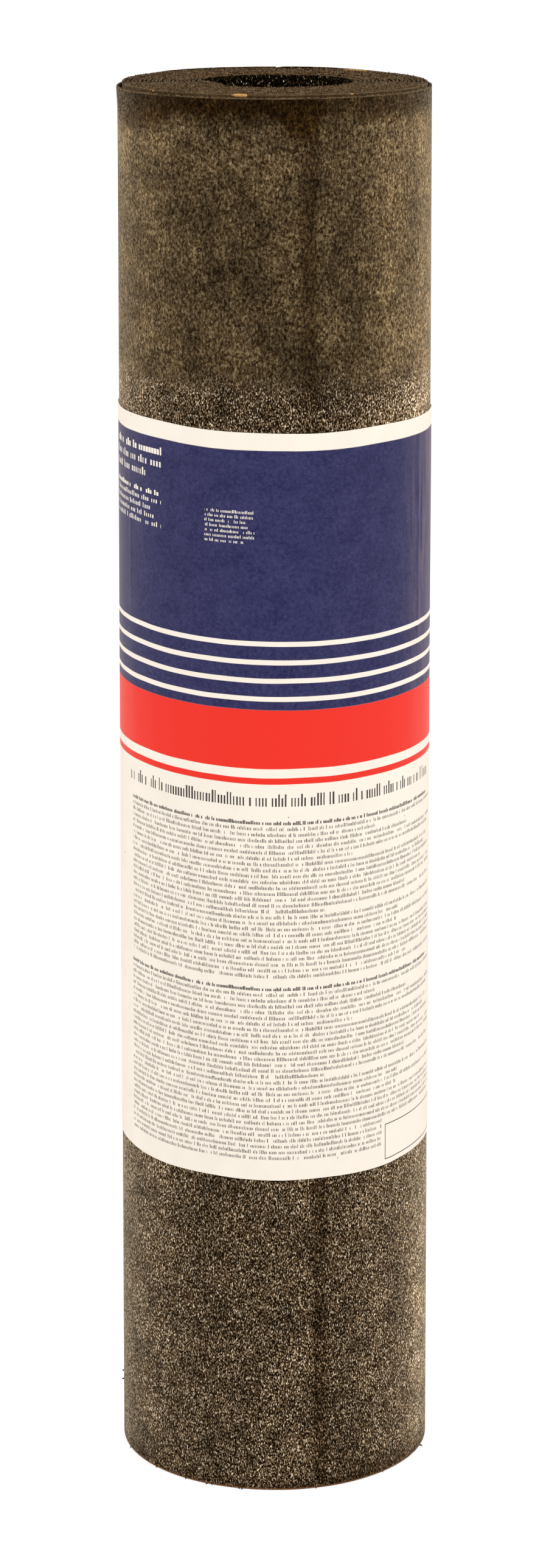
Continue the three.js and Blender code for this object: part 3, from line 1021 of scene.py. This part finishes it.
def set_lamps():
    """Large soft lamps: one on each side of the front and a weaker one behind. A lamp of P watts at d
    metres adds P / (pi^2 d^2) of the level at which a colour renders as written."""
    for name, azimuth, elevation, share in LAMPS:
        data = bpy.data.lights.new(name, "AREA")
        data.shape, data.size, data.size_y = "RECTANGLE", LAMP_WIDTH, LAMP_HEIGHT
        data.energy = share * np.pi**2 * LAMP_DISTANCE**2
        a, e = np.radians(azimuth), np.radians(elevation)
        away = Vector((np.sin(a) * np.cos(e), -np.cos(a) * np.cos(e), np.sin(e)))
        lamp = put_in_scene(name, data)
        lamp.location = Vector((0, 0, 0.5)) + away * LAMP_DISTANCE
        lamp.rotation_euler = away.to_track_quat("Z", "Y").to_euler()
        lamp.visible_camera = False


def seen_directly(node):
    """1 for a ray that the camera sends, or that a shiny or clear surface sends on, and 0 for others."""
    path = node(LIGHT_PATH).outputs
    seen = node(LARGER, path["Is Camera Ray"], path["Is Glossy Ray"])
    return node(LARGER, seen, path["Is Transmission Ray"])


def set_world():
    """Even light from all round, and plain white where the camera or a reflection sees it."""
    world = bpy.data.worlds.new("studio")
    world.use_nodes = True
    world.node_tree.nodes.clear()
    node = partial(add, world.node_tree)
    strength = node(RANGE, seen_directly(node), 0, 1, 0.60, 1.0)
    node(WORLD_OUTPUT, node(BACKGROUND, WHITE, strength))
    bpy.context.scene.world = world


def set_floor(colours):
    """A pale floor, 60 m across. The camera sees it white with the roll's shadow on it."""
    corners = [(-30, -30, 0), (30, -30, 0), (30, 30, 0), (-30, 30, 0)]
    mesh = bpy.data.meshes.new("floor")
    mesh.from_pydata(corners, [], [(0, 1, 2, 3)])
    material, node = new_material("matt white studio floor")
    lifted = node(ADD_SHADER, node(DIFFUSE, (0.5, 0.5, 0.5)), node(EMISSION, WHITE, 0.7))
    node(OUTPUT, node(MIX_SHADER, seen_directly(node), node(DIFFUSE, colours.floor), lifted))
    mesh.materials.append(material)
    put_in_scene("floor", mesh)


# ---- Operators and panel ---------------------------------------------


class FELTROLL_OT_stage(bpy.types.Operator):
    """Set up the camera, the lamps, the world and the floor"""

    bl_idname = "felt_roll.stage"
    bl_label = "Stage"

    def execute(self, context):
        set_camera()
        set_lamps()
        set_world()
        set_floor(context.scene.felt_colours)
        context.scene.view_settings.view_transform = "Standard"
        return {"FINISHED"}


class FELTROLL_OT_sheet(bpy.types.Operator):
    """Wind the felt sheet round its bore"""

    bl_idname = "felt_roll.sheet"
    bl_label = "Wound felt sheet"

    def execute(self, context):
        scene = context.scene
        colours = scene.felt_colours
        winding = Winding(scene.felt_sizes)
        wind_sheet(winding, [weather_side(colours, winding), cut_edge(colours), underside(colours)])
        return {"FINISHED"}


class FELTROLL_OT_granules(bpy.types.Operator):
    """Scatter loose granules on the top end and the rims of the roll"""

    bl_idname = "felt_roll.granules"
    bl_label = "Loose granules"

    def execute(self, context):
        sizes = context.scene.felt_sizes
        winding = Winding(sizes)
        material = loose_granule(context.scene.felt_colours)
        size = sizes.granule_size / MM
        scatter_on_end(winding, sizes.end_granules, size, material)
        scatter_on_rims(winding, sizes.rim_granules, size, material)
        return {"FINISHED"}


class FELTROLL_OT_damage(bpy.types.Operator):
    """Add the torn slivers at the top and the frayed bits at the foot and the sides"""

    bl_idname = "felt_roll.damage"
    bl_label = "Torn and frayed bits"

    def execute(self, context):
        winding = Winding(context.scene.felt_sizes)
        torn_slivers(winding, dry_fibre(context.scene.felt_colours))
        frayed_bits(winding, bare_bitumen(context.scene.felt_colours))
        return {"FINISHED"}


class FELTROLL_OT_wrapper(bpy.types.Operator):
    """Wrap the printed paper round the middle of the roll"""

    bl_idname = "felt_roll.wrapper"
    bl_label = "Printed wrapper"

    def execute(self, context):
        scene = context.scene
        wrap_paper(Winding(scene.felt_sizes), scene.wrapper_sizes, printed_paper(scene.felt_colours))
        return {"FINISHED"}


STEPS_IN_ORDER = (
    FELTROLL_OT_stage, FELTROLL_OT_sheet, FELTROLL_OT_granules, FELTROLL_OT_damage, FELTROLL_OT_wrapper,
)
SETTINGS = {
    "felt_sizes": FeltRollSizes, "wrapper_sizes": PaperWrapperSizes, "felt_colours": FeltRollColours,
}


class FELTROLL_PT_panel(bpy.types.Panel):
    """Lists the steps that build the roll, and its sizes and colours"""

    bl_idname = "FELTROLL_PT_panel"
    bl_label = "Roofing felt roll"
    bl_space_type = "VIEW_3D"
    bl_region_type = "UI"
    bl_category = "Felt roll"

    def draw(self, context):
        for operator in STEPS_IN_ORDER:
            self.layout.operator(operator.bl_idname)
        for name, group in SETTINGS.items():
            box = self.layout.box()
            for key in group.__annotations__:
                box.prop(getattr(context.scene, name), key)


def register():
    for made in (*SETTINGS.values(), *STEPS_IN_ORDER, FELTROLL_PT_panel):
        bpy.utils.register_class(made)
    for name, group in SETTINGS.items():
        setattr(bpy.types.Scene, name, PointerProperty(type=group))


def unregister():
    for name in SETTINGS:
        delattr(bpy.types.Scene, name)
    for made in (FELTROLL_PT_panel, *STEPS_IN_ORDER, *SETTINGS.values()):
        bpy.utils.unregister_class(made)


def main():
    register()
    bpy.ops.felt_roll.stage()
    bpy.ops.felt_roll.sheet()
    bpy.ops.felt_roll.granules()
    bpy.ops.felt_roll.damage()
    bpy.ops.felt_roll.wrapper()


if __name__ == "__main__":
    main()
